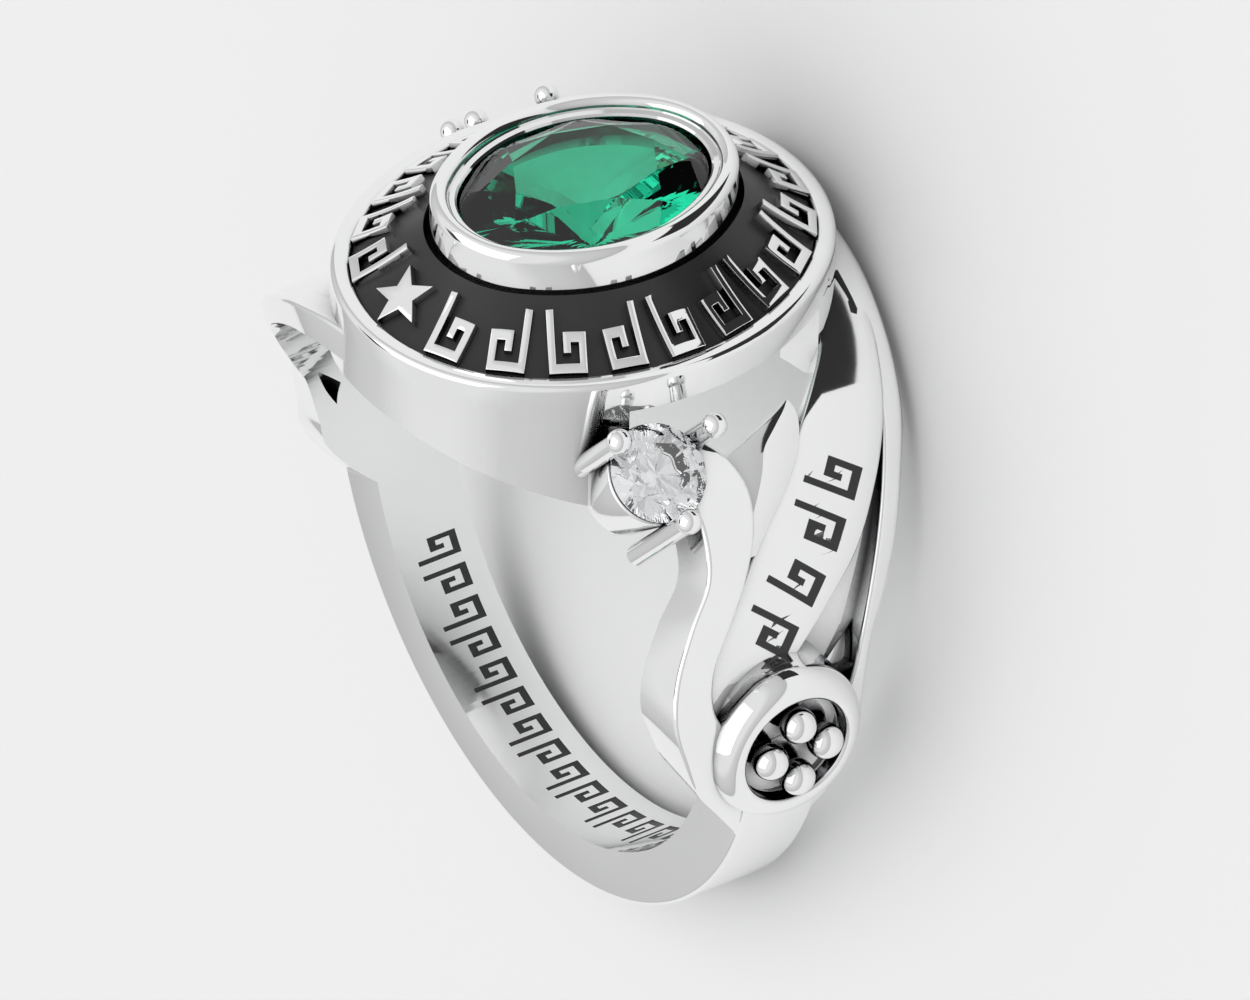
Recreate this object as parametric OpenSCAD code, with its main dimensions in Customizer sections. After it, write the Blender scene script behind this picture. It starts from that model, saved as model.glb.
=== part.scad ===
// A cast silver class ring with an oval green centre stone, a black enamel band with raised
// ornament, split shoulders and two small prong-set stones. Each half repeats as a half turn
// about the axis of the head. It is modelled with the finger axis along Y and the head up,
// then laid on its back side, as it rests by itself.

/* [Finger hole and band] */
// Diameter of the finger hole
hole_d = 17.3; // [16:0.1:19]
// Width of the band at its base
band_w = 2.6; // [2:0.1:3.4]
// Thickness of the band at its base
base_t = 1.5; // [1.2:0.1:2.2]
// Thickness of the band at the shoulders
side_t = 2.0; // [1.6:0.1:2.6]

/* [Centre stone] */
// Length of the centre stone, along the finger
stone_l = 8; // [7:0.1:9]
// Width of the centre stone
stone_w = 6; // [5.2:0.1:6.8]
// Radius of the round ends of the stone's outline
stone_end_r = 2.4; // [2.2:0.05:2.6]
// Height of the stone's girdle above the finger axis
girdle_z = 12.2; // [11.9:0.1:12.6]
// Height of the crown above the girdle
crown_h = 0.85; // [0.6:0.05:1.1]
// Depth of the pavilion below the girdle
pavilion_h = 2.3; // [1.8:0.1:2.6]
// Thickness of the girdle
girdle_t = 0.1; // [0.06:0.02:0.2]

/* [Bezel and plate] */
// Thickness of the bezel's wall
bezel_t = 0.5; // [0.4:0.05:0.7]
// How far the bezel's lip reaches over the stone
lip = 0.25; // [0.15:0.05:0.35]
// Height of the bezel above the girdle
bezel_h = 0.65; // [0.5:0.05:0.8]
// Distance from the stone's edge to the edge of the plate
plate_reach = 3.2; // [2.9:0.1:3.6]
// Width of the raised rim
rim_w = 0.55; // [0.4:0.05:0.7]
// Height of the plate's underside above the finger axis
plate_z = 9.4; // [9.2:0.1:9.8]
// Height of the plate's side wall, from its underside to the top of the rim
plate_h = 1.0; // [0.8:0.1:1.3]
// Thickness of the plate's dome
dome_t = 0.85; // [0.7:0.05:1.1]
// Rise of the enamelled slope from the rim to the bezel
slope_rise = 1.45; // [1.1:0.05:1.6]
// Thickness of the skirt below the plate
skirt_t = 1.1; // [0.9:0.1:1.5]

/* [Enamel and raised ornament] */
// Thickness of the black enamel
enamel_t = 0.22; // [0.15:0.01:0.3]
// Height of the raised ornament above its recess
relief_h = 0.5; // [0.35:0.05:0.6]
// Number of fret figures round the plate
fret_count = 20; // [12:1:20]
// Width of enamel above and below each fret figure
fret_margin = 0.32; // [0.3:0.02:0.5]
// Width of a fret figure
fret_w = 1.07; // [0.8:0.01:1.1]
// Radius of the star's points
star_r = 0.98; // [0.7:0.02:1]
// Gap left round each separate piece
fit_gap = 0.04; // [0.03:0.01:0.06]

/* [Prong-set stones] */
// Diameter of each small stone
accent_d = 2.8; // [2.5:0.1:3]
// Angle of its axis above the side of the ring
accent_angle = 48.5; // [47:0.5:52]
// Distance of its girdle from the finger axis
accent_r = 10.7; // [10.5:0.05:10.9]
// Distance of its axis towards the front
accent_y = 2.1; // [2:0.05:2.2]
// Radius of each prong's ball
prong_ball_r = 0.36; // [0.34:0.01:0.4]
// Radius of each prong's wire
prong_r = 0.3; // [0.24:0.01:0.32]

/* [Side rosettes] */
// Outer diameter of the round setting at the side
rosette_d = 4.15; // [3.8:0.05:4.5]
// Width of its rim
rosette_rim = 0.45; // [0.35:0.05:0.6]
// Radius of each of the four balls in it
bead_r = 0.52; // [0.4:0.02:0.54]
// Distance of its rim from the finger axis
rosette_x = 11.1; // [10.9:0.05:11.4]

/* [Hidden] */
silver = [0.86, 0.87, 0.88];
black = [0.10, 0.10, 0.11];
green = [0.02, 0.50, 0.28];
clear = [0.86, 0.90, 0.95];
$fn = 32;
ring_sides = 76;

hole_r = hole_d / 2;
base_r = hole_r + base_t;
side_r = hole_r + side_t;
// The band's outer outline is one circle, set a little above the finger axis.
band_up = (pow(side_r, 2) - pow(base_r, 2)) / (2 * base_r);
band_r = base_r + band_up;
// Depth by which pieces run into the hole before it is cut
sunk = 0.6;

// The oval of the centre stone's edge, drawn with four arcs that meet smoothly.
half_l = stone_l / 2;
half_w = stone_w / 2;
end_c = half_l - stone_end_r;
side_arc_r = (pow(end_c, 2) + pow(half_w, 2) - pow(stone_end_r, 2)) / (2 * (half_w - stone_end_r));
side_c = side_arc_r - half_w;
side_ang = atan2(end_c, side_c);

// Swept points lie on a fine grid.
grid = 0.001;
function snap(p) = [for (v = p) round(v / grid) * grid];

// Stations round the oval: [x and y of the arc's centre, radius of the stone's edge, direction].
// The second half is the first one, half a turn on.
end_steps = 11;
side_steps = 9;
half_stations = concat(
    [for (i = [0 : end_steps - 1])
        [0, -end_c, stone_end_r, side_ang - 180 + (180 - 2 * side_ang) * i / end_steps]],
    [for (i = [0 : side_steps - 1])
        [-side_c, 0, side_arc_r, side_ang * (2 * i / side_steps - 1)]]
);
stations = concat(half_stations, [for (s = half_stations) [-s[0], -s[1], s[2], s[3] + 180]]);

// Sweep a profile of [distance out from the stone's edge, height] round the oval. The profile
// runs anticlockwise.
module oval_sweep(profile) {
    sides = len(profile);
    count = len(stations);
    polyhedron(
        points = [for (s = stations, p = profile)
            snap([s[0] + (s[2] + p[0]) * cos(s[3]), s[1] + (s[2] + p[0]) * sin(s[3]), p[1]])],
        faces = [for (i = [0 : count - 1], k = [0 : sides - 1])
            let (j = (i + 1) % count, n = (k + 1) % sides)
            each [
                [i * sides + k, i * sides + n, j * sides + n],
                [i * sides + k, j * sides + n, j * sides + k]
            ]],
        convexity = 8
    );
}

// Length of the oval at a distance out from the stone's edge, and a place along it:
// [x, y, direction outwards], measured from the front end.
function end_len(out) = (stone_end_r + out) * (180 - 2 * side_ang) * PI / 180;
function side_len(out) = (side_arc_r + out) * 2 * side_ang * PI / 180;
function oval_len(out) = 2 * end_len(out) + 2 * side_len(out);
function half_turn(p) = [-p[0], -p[1], p[2] + 180];
function on_end(len, out) =
    let (a = -90 + len / (stone_end_r + out) * 180 / PI)
    [(stone_end_r + out) * cos(a), -end_c + (stone_end_r + out) * sin(a), a];
function on_side(len, out) =
    let (a = -side_ang + len / (side_arc_r + out) * 180 / PI)
    [-side_c + (side_arc_r + out) * cos(a), (side_arc_r + out) * sin(a), a];
function oval_place(len, out) =
    let (half = oval_len(out) / 2, e = end_len(out) / 2)
    len >= half ? half_turn(oval_place(len - half, out)) :
    len < e ? on_end(len, out) :
    len < e + side_len(out) ? on_side(len - e, out) :
    half_turn(on_end(len - half, out));

// Height of the recess under the enamel, at a distance out from the stone's edge
collar_w = 0.12;
collar_h = 0.2;
recess_in = bezel_t + collar_w;
recess_out = plate_reach - rim_w;
rim_top = plate_z + plate_h;
rim_stand = 0.2;
recess_low = rim_top - enamel_t - rim_stand;
slope_steps = 3;
slope_curve = 0.28;
function slope_z(out) =
    let (t = (recess_out - out) / (recess_out - recess_in))
    recess_low + slope_rise * ((1 - slope_curve) * t + slope_curve * t * t);
function slope_line(up, from, to) =
    [for (i = [0 : slope_steps])
        let (out = from + (to - from) * i / slope_steps)
        [out, slope_z(out) + up]];

bezel_top = girdle_z + bezel_h;
bead = (bezel_t + lip) / 2;
ledge_in = -0.9;
steep_share = 0.34;
rim_round = 0.16;
rim_ease = 0.1;
seat_gap = 2 * fit_gap;
pavilion_slope = pavilion_h / half_w;
// The steepest facets of the crown, above the girdle, rise by this much for each mm inwards.
crown_slope = crown_h / (half_w * steep_share);
lip_z = girdle_z + girdle_t / 2 + lip * crown_slope + fit_gap;
lip_up = bezel_top - lip_z;

// Plate, dome and bezel as one profile
head_profile = concat(
    [
        [plate_reach - skirt_t, plate_z],
        [plate_reach, plate_z],
        [plate_reach, rim_top - rim_round],
        [plate_reach - rim_round * 0.3, rim_top - rim_round * 0.3],
        [plate_reach - rim_round, rim_top],
        [recess_out + rim_ease, rim_top],
        [recess_out, rim_top - rim_ease]
    ],
    slope_line(0, recess_out, recess_in),
    [
        [bezel_t + collar_w / 4, slope_z(recess_in) + collar_h * 0.45],
        [bezel_t, slope_z(recess_in) + collar_h]
    ],
    [for (a = [0 : 30 : 180])
        [(bezel_t - lip) / 2 + bead * cos(a), lip_z + lip_up * sin(a)]],
    [
        [seat_gap, girdle_z + girdle_t / 2 + fit_gap],
        [seat_gap, girdle_z - girdle_t / 2 - fit_gap],
        [ledge_in, girdle_z - girdle_t / 2 - seat_gap + ledge_in * pavilion_slope],
        [ledge_in, slope_z(recess_in) - dome_t]
    ],
    slope_line(-dome_t, recess_in, plate_reach - skirt_t)
);

slope_run = recess_out - recess_in;
slope_tilt = atan((slope_z(recess_in) - slope_z(recess_out)) / slope_run);
fret_h = slope_run / cos(slope_tilt) - 2 * fret_margin;

// A fret figure: a stroke that turns inwards on a grid of five by six squares, and a
// five-pointed star
FRET = [[0, 0], [0, 5], [4, 5], [4, 2], [2, 2], [2, 3]];
module fret() {
    for (i = [0 : len(FRET) - 2])
        hull()
            for (p = [FRET[i], FRET[i + 1]])
                translate([(p[0] / 5 - 0.5) * fret_w, (p[1] / 6 - 0.5) * fret_h])
                    square([fret_w / 5, fret_h / 6]);
}
star_waist = 0.42;
module star() {
    polygon([for (i = [0 : 9])
        let (r = i % 2 == 0 ? star_r : star_r * star_waist)
        [r * sin(36 * i), r * cos(36 * i)]]);
}
ornament_out = (recess_in + recess_out) / 2;
relief_sunk = 0.15;
star_share = 1.5;
pitch = oval_len(ornament_out) / (fret_count + star_share);

// Stand a flat figure on the slope, facing outwards, and raise it from its recess.
module on_slope(place, low, high) {
    translate([place[0], place[1], slope_z(ornament_out)])
        rotate([0, 0, place[2] - 90])
            rotate([-slope_tilt, 0, 0])
                translate([0, 0, low])
                    linear_extrude(high - low)
                        children();
}
module ornament(by, low, high) {
    on_slope(oval_place(0, ornament_out), low, high)
        offset(delta = by)
            star();
    for (i = [1 : fret_count])
        on_slope(oval_place(pitch * (i - 0.5 + star_share / 2), ornament_out), low, high)
            offset(delta = by)
                mirror([i % 2, 0])
                    fret();
}

// Strands of the shoulder. Each row: angle above the side of the ring, front edge, back edge,
// outer radius as a share of the shoulder's.
FRONT_STRAND = [
    [-17, -1.2, 0.0, 0.985], [-10, -2.05, -0.3, 0.985], [-4, -2.78, -1.0, 0.985],
    [3, -3.22, -1.5, 0.985], [10, -3.48, -2.15, 0.98], [17, -3.22, -1.95, 0.975],
    [24, -2.52, -1.05, 0.975], [30, -1.68, -0.3, 0.975], [36, -1.4, 0.22, 0.98],
    [42, -1.4, 0.38, 0.985], [48, -1.6, 0.0, 0.99], [53, -1.9, -0.8, 0.98]
];
PANEL = [
    [-12, -1.2, -0.2, 0.965], [-4, -2.1, -0.5, 0.965], [4, -2.5, -0.3, 0.96], [11, -2.3, 0.4, 0.95],
    [19, -1.7, 2.0, 0.935], [26, -0.55, 3.4, 0.92], [35, 0.85, 4.6, 0.9], [42, 1.98, 5.32, 0.893],
    [48, 2.98, 5.8, 0.89], [54, 3.9, 6.15, 0.89], [60, 4.7, 6.45, 0.89], [68, 5.3, 6.7, 0.89],
    [76, 5.7, 6.75, 0.888]
];
BACK_STRAND = [
    [-22, -0.2, 0.8, 0.975], [-15, 0.3, 1.95, 0.967], [-8, 1.2, 2.74, 0.95], [-2, 2.1, 2.95, 0.93],
    [4, 2.7, 3.2, 0.915], [10, 3.1, 3.52, 0.905], [17, 3.55, 4.12, 0.9], [26, 4.2, 4.87, 0.893],
    [35, 4.86, 5.53, 0.885], [44, 5.42, 6.15, 0.885], [53, 5.8, 6.57, 0.885], [62, 6.0, 6.85, 0.89],
    [70, 6.1, 7.05, 0.893], [78, 6.15, 7.12, 0.9], [86, 6.15, 7.12, 0.905]
];
// The thin floor between the panel and the back strand
WEB = [
    [-5, -0.8, 1.0, 0.85], [0, -0.7, 1.5, 0.85], [6, -0.4, 2.36, 0.85], [12, 0.2, 3.3, 0.85],
    [16, 1.0, 3.9, 0.85], [26, 2.8, 4.6, 0.85], [38, 4.3, 5.4, 0.85], [52, 5.4, 6.1, 0.85],
    [66, 5.8, 6.5, 0.85]
];
LEAF = [
    [31, -0.6, 0.3, 0.93], [35, -0.5, 1.0, 0.932], [39, -0.3, 1.75, 0.935], [43, 0.0, 2.4, 0.935],
    [46.5, 0.3, 2.82, 0.93], [49, 1.2, 2.98, 0.925], [51, 2.1, 2.98, 0.92], [52.5, 2.76, 2.9, 0.915]
];
edge = 0.12;

// Rows between the rows of a table, on a smooth curve through them
function spline(a, b, c, d, t) =
    0.5 * (2 * b + (c - a) * t + (2 * a - 5 * b + 4 * c - d) * t * t
        + (3 * b - a - 3 * c + d) * t * t * t);
function smooth(rows, steps) =
    let (n = len(rows))
    concat([for (i = [0 : n - 2], k = [0 : steps - 1])
        spline(rows[max(i - 1, 0)], rows[i], rows[i + 1], rows[min(i + 2, n - 1)], k / steps)],
        [rows[n - 1]]);
function at_angle(r, y, a) = snap([r * cos(a), y, r * sin(a)]);
function section(row) =
    let (a = row[0], front = row[1], back = row[2], r = row[3] * side_r)
    [
        at_angle(hole_r - sunk, front, a), at_angle(r - edge, front, a), at_angle(r, front + edge, a),
        at_angle(r, back - edge, a), at_angle(r - edge, back, a), at_angle(hole_r - sunk, back, a)
    ];
module strand(table, steps) {
    rows = smooth(table, steps);
    last = len(rows) - 1;
    sides = len(section(rows[0]));
    polyhedron(
        points = [for (row = rows) each section(row)],
        faces = concat(
            [[for (k = [0 : sides - 1]) k]],
            [for (i = [0 : last - 1], k = [0 : sides - 1])
                let (n = (k + 1) % sides)
                each [
                    [i * sides + k, (i + 1) * sides + n, i * sides + n],
                    [i * sides + k, (i + 1) * sides + k, (i + 1) * sides + n]
                ]],
            [[for (k = [sides - 1 : -1 : 0]) last * sides + k]]
        ),
        convexity = 6
    );
}

// The round setting with four balls at the side of the ring
rosette_r = rosette_d / 2;
rosette_up = 0.15;
crest_r = rosette_r - 0.3;
flank_w = 0.6;
flank_h = 0.75;
recess_depth = 0.45;
bead_wall = 0.215;
bead_sunk = 0.08;
bead_ring = rosette_r - rosette_rim - bead_r - bead_wall;
bead_x = rosette_x - recess_depth + bead_r - bead_sunk;
rim_x = rosette_x - hole_r + sunk;
module rosette() {
    translate([0, 0, rosette_up]) {
        difference() {
            translate([hole_r - sunk, 0, 0])
                rotate([0, 90, 0])
                    rotate_extrude()
                        polygon(concat(
                            [[0, 0], [crest_r + flank_w, 0]],
                            [for (a = [0 : 30 : 90])
                                [crest_r + flank_w * cos(a), rim_x - flank_h * (1 - sin(a))]],
                            [[0, rim_x]]
                        ));
            translate([rosette_x - recess_depth, 0, 0])
                rotate([0, 90, 0])
                    cylinder(h = recess_depth + 1, r = rosette_r - rosette_rim);
        }
        for (a = [0 : 90 : 270])
            translate([bead_x, bead_ring * cos(a), bead_ring * sin(a)])
                sphere(r = bead_r, $fn = 10);
    }
}

// Small brilliant: a local frame with its axis along Z and its girdle at Z = 0
accent_half = accent_d / 2;
accent_crown = 0.16 * accent_d;
accent_pavilion = 0.42 * accent_d;
prong_over = 0.03;
prong_circle = accent_half + prong_r - prong_over;
prong_up = accent_crown + 0.7;
setting_depth = accent_r - hole_r + sunk;
seat_w = 0.04;
seat_drop = 0.14;
cup_taper = 0.34;
PRONG_ANGLES = [109.7, 229.7, 349.7];
ball_turn = 11;
module at_accent() {
    rotate([0, -accent_angle, 0])
        translate([accent_r, -accent_y, 0])
            rotate([0, 90, 0])
                children();
}
module prong() {
    hull()
        for (z = [-setting_depth, prong_up])
            translate([prong_circle, 0, z])
                sphere(r = prong_r, $fn = 8);
}
module stone_space() {
    at_accent()
        rotate_extrude()
            polygon([
                [0, -accent_pavilion - 2 * fit_gap],
                [accent_half + fit_gap, -2 * fit_gap],
                [accent_half + fit_gap, fit_gap],
                [accent_half / 2, accent_crown + fit_gap],
                [0, accent_crown + fit_gap]
            ]);
}
module basket() {
    at_accent() {
        difference() {
            translate([0, 0, -setting_depth])
                cylinder(
                    h = setting_depth - seat_drop,
                    r1 = accent_half + seat_w - cup_taper,
                    r2 = accent_half + seat_w
                );
            translate([0, 0, -setting_depth - 1])
                cylinder(h = setting_depth + 2, r = accent_half / 2);
        }
        for (a = PRONG_ANGLES)
            rotate([0, 0, a]) {
                prong();
                translate([prong_circle, 0, prong_up])
                    rotate([0, 0, ball_turn])
                        sphere(r = prong_ball_r, $fn = 12);
            }
    }
}

// Skirt: the plate's side wall, carried down to the finger hole. It runs from behind the small
// stone, round the front, to the far shoulder, and repeats half a turn on.
skirt_from = -20;
skirt_to = -138;
skirt_low = hole_r * 0.6;
skirt_drop = 0.5;
skirt_high = plate_z + plate_h * 0.3;
module skirt() {
    reach = 2 * (half_l + plate_reach);
    intersection() {
        oval_sweep([
            [plate_reach - skirt_t, skirt_low],
            [plate_reach, skirt_low],
            [plate_reach, skirt_high],
            [plate_reach - skirt_t, skirt_high]
        ]);
        linear_extrude(skirt_high + 1)
            polygon(concat(
                [[0, 0]],
                [for (i = [0 : 4])
                    let (a = skirt_from + (skirt_to - skirt_from) * i / 4)
                    reach * [cos(a), sin(a)]]
            ));
    }
}

module shoulder() {
    strand(FRONT_STRAND, 2);
    strand(PANEL, 2);
    strand(BACK_STRAND, 2);
    strand(LEAF, 2);
    strand(WEB, 1);
    rosette();
}
module band() {
    intersection() {
        translate([0, band_w / 2, band_up])
            rotate([90, 0, 0])
                cylinder(h = band_w, r = band_r, $fn = ring_sides);
        translate([-2 * band_r, -band_w, -2 * band_r])
            cube([4 * band_r, 2 * band_w, 2 * band_r]);
    }
}
// The finger hole, or a narrower one
module finger_space(drop = 0) {
    translate([0, 2 * band_r, 0])
        rotate([90, 0, 0])
            cylinder(h = 4 * band_r, r = hole_r - drop, $fn = ring_sides);
}
module both_ends() {
    children();
    rotate([0, 0, 180])
        children();
}
module body_upright() {
    difference() {
        union() {
            difference() {
                union() {
                    band();
                    both_ends()
                        shoulder();
                }
                finger_space();
            }
            difference() {
                both_ends()
                    basket();
                finger_space(drop = skirt_drop);
            }
            difference() {
                both_ends()
                    skirt();
                scale([1, 1, 1 - skirt_drop / hole_r])
                    finger_space();
            }
        }
        both_ends()
            stone_space();
    }
    oval_sweep(head_profile);
    ornament(0, -relief_sunk, relief_h);
}

// A brilliant cut with flat facets, in a frame where the girdle's radius is 1
function ring_pts(r, z, n, from) =
    [for (i = [0 : n - 1]) [r * cos(from + 360 * i / n), r * sin(from + 360 * i / n), z]];
module brilliant(size_x, size_y, crown, pavilion, girdle) {
    table_r = 0.56;
    star_meet = 0.77;
    low_meet = 0.24;
    half_step = 22.5;
    star_z = crown - (star_meet * cos(half_step) - table_r) * crown / (1 - table_r);
    low_z = pavilion - low_meet * cos(half_step) * pavilion;
    unit_pts = concat(
        ring_pts(table_r, girdle / 2 + crown, 8, 0),
        ring_pts(star_meet, girdle / 2 + star_z, 8, half_step),
        ring_pts(1, girdle / 2, 16, 0),
        ring_pts(1, -girdle / 2, 16, 0),
        ring_pts(low_meet, -girdle / 2 - low_z, 8, half_step),
        [[0, 0, -girdle / 2 - pavilion]]
    );
    top = 0;
    star = 8;
    upper = 16;
    lower = 32;
    meet = 48;
    culet = 56;
    polyhedron(
        points = [for (p = unit_pts) [p[0] * size_x, p[1] * size_y, p[2]]],
        faces = concat(
            [[for (i = [7 : -1 : 0]) i]],
            [for (i = [0 : 7])
                let (n = (i + 1) % 8, g = 2 * i, back = (i + 7) % 8)
                each [
                    [top + i, top + n, star + i],
                    [top + i, star + i, upper + g],
                    [top + i, upper + g, star + back],
                    [star + i, upper + (g + 1) % 16, upper + g],
                    [star + i, upper + (g + 2) % 16, upper + (g + 1) % 16],
                    [lower + g, lower + (g + 1) % 16, meet + i],
                    [lower + (g + 1) % 16, lower + (g + 2) % 16, meet + i],
                    [lower + g, meet + i, culet],
                    [lower + g, culet, meet + back]
                ]],
            [for (i = [0 : 15])
                let (n = (i + 1) % 16)
                each [
                    [upper + i, upper + n, lower + i],
                    [upper + n, lower + n, lower + i]
                ]]
        )
    );
}

// Lay the ring on its back side. It rests on the back edges of the skirt and of the band's base,
// whose line becomes the floor, with the head towards -Y and the middle of its length at Y = 0.
back_reach = half_l + plate_reach;
rest_tilt = atan2(back_reach - band_w / 2, hole_r - skirt_drop + base_r);
rest_lift = band_w / 2 * cos(rest_tilt) + base_r * sin(rest_tilt);
bead_reach = norm([bead * sin(rest_tilt), lip_up * cos(rest_tilt)]);
head_reach = (half_l + bezel_t - bead) * sin(rest_tilt) + lip_z * cos(rest_tilt) + bead_reach;
foot_reach = band_w / 2 * sin(rest_tilt) + base_r * cos(rest_tilt);
module lay() {
    translate([0, (head_reach - foot_reach) / 2, rest_lift])
        rotate([0, 0, 180])
            rotate([rest_tilt - 90, 0, 0])
                children();
}

module ring_body() {
    color(silver)
        lay()
            body_upright();
}
module enamel_band() {
    color(black)
        lay()
            difference() {
                oval_sweep(concat(
                    slope_line(fit_gap, recess_in + fit_gap, recess_out - fit_gap),
                    slope_line(fit_gap + enamel_t, recess_out - fit_gap, recess_in + fit_gap)
                ));
                ornament(fit_gap, -rim_stand, relief_h + rim_stand);
            }
}
module centre_stone() {
    color(green)
        lay()
            translate([0, 0, girdle_z])
                brilliant(half_w, half_l, crown_h, pavilion_h, girdle_t);
}
module accent_stone() {
    at_accent()
        brilliant(accent_half, accent_half, accent_crown, accent_pavilion, girdle_t / 2);
}
module accent_stone_front() {
    color(clear)
        lay()
            accent_stone();
}
module accent_stone_back() {
    color(clear)
        lay()
            rotate([0, 0, 180])
                accent_stone();
}

ring_body();
enamel_band();
centre_stone();
accent_stone_front();
accent_stone_back();
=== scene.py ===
import math

import bmesh
import bpy
from mathutils import Matrix, Vector


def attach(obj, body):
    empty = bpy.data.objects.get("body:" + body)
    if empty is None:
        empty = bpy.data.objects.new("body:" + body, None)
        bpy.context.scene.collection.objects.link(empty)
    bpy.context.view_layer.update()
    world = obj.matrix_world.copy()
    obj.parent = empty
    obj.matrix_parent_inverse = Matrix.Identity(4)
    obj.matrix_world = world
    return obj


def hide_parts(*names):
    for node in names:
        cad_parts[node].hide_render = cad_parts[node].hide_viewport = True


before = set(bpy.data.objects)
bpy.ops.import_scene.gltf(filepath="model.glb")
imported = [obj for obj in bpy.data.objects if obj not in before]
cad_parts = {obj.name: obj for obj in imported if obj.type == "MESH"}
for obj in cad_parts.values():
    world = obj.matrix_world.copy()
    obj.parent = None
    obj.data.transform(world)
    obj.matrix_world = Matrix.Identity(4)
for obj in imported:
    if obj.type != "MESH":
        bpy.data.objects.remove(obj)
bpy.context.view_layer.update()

# Sizes in millimetres, in the frame of the upright ring: the finger axis along Y, the head up.
# They repeat the CAD model's.
MM = 0.001
HOLE_R = 8.65
BAND_W = 2.6
BASE_R = HOLE_R + 1.5
SIDE_R = HOLE_R + 2.0
BAND_UP = (SIDE_R ** 2 - BASE_R ** 2) / (2 * BASE_R)
BAND_R = BASE_R + BAND_UP
SUNK = 0.6
HALF_L = 4.0
HALF_W = 3.0
END_R = 2.4
GIRDLE_Z = 12.2
CROWN_H = 0.85
PAVILION_H = 2.3
GIRDLE_T = 0.1
BEZEL_T = 0.5
LIP = 0.25
BEZEL_H = 0.65
PLATE_REACH = 3.2
RIM_W = 0.55
PLATE_Z = 9.4
PLATE_H = 1.0
DOME_T = 0.85
SLOPE_RISE = 1.45
SKIRT_T = 1.1
ENAMEL_T = 0.22
RELIEF_H = 0.5
FRET_COUNT = 20
FRET_MARGIN = 0.32
FRET_W = 1.07
STAR_R = 0.98
STAR_SHARE = 1.5
STAR_WAIST = 0.42
RELIEF_SUNK = 0.15
RELIEF_BEVEL = 0.035
CUT_OVER = 0.2
FIT_GAP = 0.04
ACCENT_R = 1.4
ACCENT_ANGLE = 48.5
ACCENT_OUT = 10.7
ACCENT_Y = 2.1
PRONG_BALL_R = 0.36
PRONG_R = 0.3
PRONG_OVER = 0.03
PRONG_STAND = 0.7
PRONG_ANGLES = (109.7, 229.7, 349.7)
SEAT_W = 0.04
SEAT_DROP = 0.14
CUP_TAPER = 0.34
ROSETTE_R = 2.075
ROSETTE_RIM = 0.45
ROSETTE_TOP = 11.1
ROSETTE_UP = 0.15
ROSETTE_DEPTH = 0.45
CREST_R = ROSETTE_R - 0.3
FLANK_W = 0.6
FLANK_H = 0.75
BEAD_R = 0.52
BEAD_WALL = 0.215
BEAD_SUNK = 0.08
SKIRT_DROP = 0.5

POLISHED, SATIN = 0, 1


# The oval of the stone's edge, drawn with four arcs that meet smoothly.
END_C = HALF_L - END_R
SIDE_ARC_R = (END_C ** 2 + HALF_W ** 2 - END_R ** 2) / (2 * (HALF_W - END_R))
SIDE_C = SIDE_ARC_R - HALF_W
SIDE_ANG = math.atan2(END_C, SIDE_C)
END_TURN = math.pi - 2 * SIDE_ANG
END_STEPS = 44
SIDE_STEPS = 30


def oval_stations():
    """Places round the oval: the arc's centre, the radius of the stone's edge and the direction."""
    half = []
    for i in range(END_STEPS):
        half.append((0, -END_C, END_R, SIDE_ANG - math.pi + END_TURN * i / END_STEPS))
    for i in range(SIDE_STEPS):
        half.append((-SIDE_C, 0, SIDE_ARC_R, SIDE_ANG * (2 * i / SIDE_STEPS - 1)))
    return half + [(-x, -y, r, a + math.pi) for x, y, r, a in half]


def oval_place(length, out):
    """Centre, radius and direction at a length along the oval, from the front end."""
    end_len = (END_R + out) * END_TURN
    side_len = (SIDE_ARC_R + out) * 2 * SIDE_ANG
    half = end_len + side_len
    if length >= half:
        x, y, r, a = oval_place(length - half, out)
        return -x, -y, r, a + math.pi
    if length < end_len / 2:
        return 0, -END_C, END_R, -math.pi / 2 + length / (END_R + out)
    if length < end_len / 2 + side_len:
        a = -SIDE_ANG + (length - end_len / 2) / (SIDE_ARC_R + out)
        return -SIDE_C, 0, SIDE_ARC_R, a
    a = -math.pi / 2 + (length - half) / (END_R + out)
    return 0, END_C, END_R, a + math.pi


def oval_length(out):
    return 2 * (END_R + out) * END_TURN + 4 * (SIDE_ARC_R + out) * SIDE_ANG


# The domed slope under the enamel
COLLAR_W = 0.12
RIM_STAND = 0.2
RECESS_IN = BEZEL_T + COLLAR_W
RECESS_OUT = PLATE_REACH - RIM_W
RIM_TOP = PLATE_Z + PLATE_H
RECESS_LOW = RIM_TOP - ENAMEL_T - RIM_STAND
SLOPE_STEPS = 14
SLOPE_CURVE = 0.28


def slope_z(out):
    t = (RECESS_OUT - out) / (RECESS_OUT - RECESS_IN)
    return RECESS_LOW + SLOPE_RISE * ((1 - SLOPE_CURVE) * t + SLOPE_CURVE * t * t)


def slope_line(up, start, end, steps=SLOPE_STEPS):
    outs = [start + (end - start) * i / steps for i in range(steps + 1)]
    return [(out, slope_z(out) + up) for out in outs]


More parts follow.
